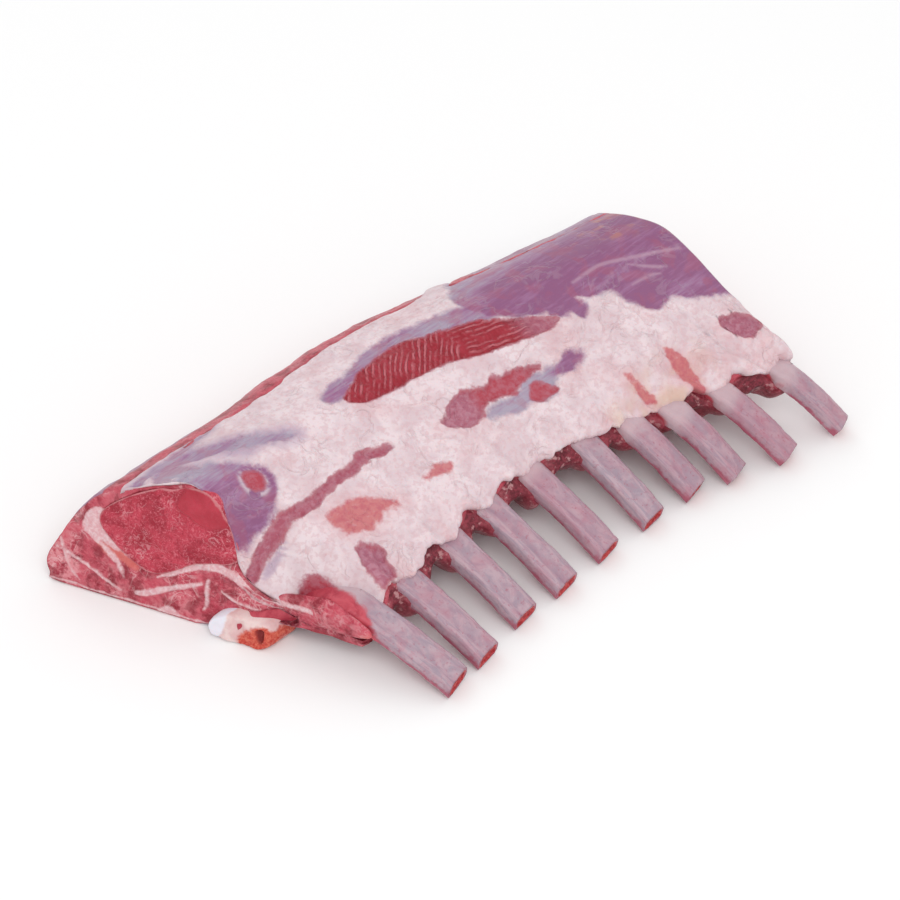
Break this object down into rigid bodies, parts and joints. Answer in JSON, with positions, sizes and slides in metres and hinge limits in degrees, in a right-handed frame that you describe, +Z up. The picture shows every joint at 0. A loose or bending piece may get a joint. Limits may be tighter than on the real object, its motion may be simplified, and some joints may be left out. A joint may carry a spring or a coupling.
{
  "type": "raw rack of lamb",
  "caption": "Raw frenched rack of lamb: a loin with its eye muscle and fat cover on a row of bare, curved rib bones, lying with its fat side up",
  "frame": {"origin": "middle of the whole rack's box in X and Y, on the surface it lies on", "axes": "+X along the row of ribs towards the square-cut end, +Y from the rib tips to the backbone edge, +Z up through the fat side"},
  "size_m": [0.2986, 0.167, 0.0588],
  "materials": {
    "raw_meat": null,
    "eye_meat": null,
    "fat": null,
    "bone": null
  },
  "bodies": {
    "root": {"loin_meat": "raw_meat", "eye_muscle": "eye_meat", "fat_cover": "fat", "rib_01": "bone", "rib_02": "bone", "rib_03": "bone", "rib_04": "bone", "rib_05": "bone", "rib_06": "bone", "rib_07": "bone", "rib_08": "bone", "rib_09": "bone", "rib_10": "bone"}
  },
  "joints": []
}
